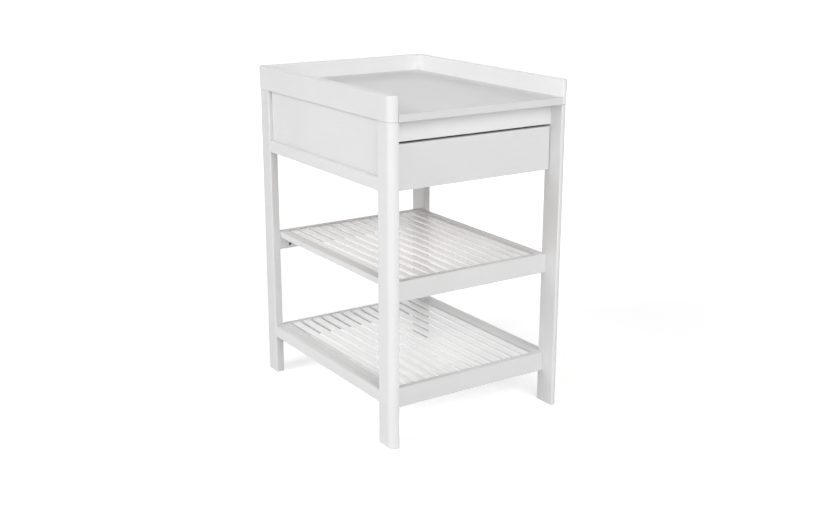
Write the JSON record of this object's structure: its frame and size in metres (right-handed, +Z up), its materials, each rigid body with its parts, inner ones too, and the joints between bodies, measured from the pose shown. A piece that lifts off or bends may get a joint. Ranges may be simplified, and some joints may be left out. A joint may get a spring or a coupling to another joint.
{
  "type": "changing table",
  "caption": "Open-fronted changing tray on four board legs, with one pull-out drawer under it and two open slatted shelves below",
  "frame": {"origin": "on the floor, under the middle of the table", "axes": "+Z up, the open front with the drawer faces -Y, and +X is to the right of a person who stands in front of the table and faces it"},
  "size_m": [0.58, 0.736, 0.95],
  "materials": {
    "white_lacquer": "satin",
    "guide_wood": "bare, waxed",
    "drawer_board": "satin"
  },
  "bodies": {
    "frame": {"back_panel": "white_lacquer", "drawer_left_kicker": "guide_wood", "drawer_left_runner": "guide_wood", "drawer_right_kicker": "guide_wood", "drawer_right_runner": "guide_wood", "front_apron": "white_lacquer", "left_lower_rail": "white_lacquer", "left_side_panel": "white_lacquer", "left_upper_rail": "white_lacquer", "leg_front_left": "white_lacquer", "leg_front_right": "white_lacquer", "leg_rear_left": "white_lacquer", "leg_rear_right": "white_lacquer", "lower_shelf_front_rail": "white_lacquer", "lower_shelf_left_stile": "white_lacquer", "lower_shelf_rear_rail": "white_lacquer", "lower_shelf_right_stile": "white_lacquer", "lower_shelf_slat_01": "white_lacquer", "lower_shelf_slat_02": "white_lacquer", "lower_shelf_slat_03": "white_lacquer", "lower_shelf_slat_04": "white_lacquer", "lower_shelf_slat_05": "white_lacquer", "lower_shelf_slat_06": "white_lacquer", "lower_shelf_slat_07": "white_lacquer", "lower_shelf_slat_08": "white_lacquer", "lower_shelf_slat_09": "white_lacquer", "lower_shelf_slat_10": "white_lacquer", "lower_shelf_slat_11": "white_lacquer", "lower_shelf_slat_12": "white_lacquer", "lower_shelf_slat_13": "white_lacquer", "middle_shelf_front_rail": "white_lacquer", "middle_shelf_left_stile": "white_lacquer", "middle_shelf_rear_rail": "white_lacquer", "middle_shelf_right_stile": "white_lacquer", "middle_shelf_slat_01": "white_lacquer", "middle_shelf_slat_02": "white_lacquer", "middle_shelf_slat_03": "white_lacquer", "middle_shelf_slat_04": "white_lacquer", "middle_shelf_slat_05": "white_lacquer", "middle_shelf_slat_06": "white_lacquer", "middle_shelf_slat_07": "white_lacquer", "middle_shelf_slat_08": "white_lacquer", "middle_shelf_slat_09": "white_lacquer", "middle_shelf_slat_10": "white_lacquer", "middle_shelf_slat_11": "white_lacquer", "middle_shelf_slat_12": "white_lacquer", "middle_shelf_slat_13": "white_lacquer", "right_lower_rail": "white_lacquer", "right_side_panel": "white_lacquer", "right_upper_rail": "white_lacquer", "tray_back_rim": "white_lacquer", "tray_floor": "white_lacquer", "tray_left_rim": "white_lacquer", "tray_right_rim": "white_lacquer"},
    "drawer": {"drawer_back": "white_lacquer", "drawer_bottom": "drawer_board", "drawer_front": "white_lacquer", "drawer_left_side": "white_lacquer", "drawer_right_side": "white_lacquer"}
  },
  "joints": [
    {"name": "drawer_slide", "type": "slide", "parent": "frame", "child": "drawer", "axis": [0, -1, 0], "range_m": [0, 0.4]}
  ]
}
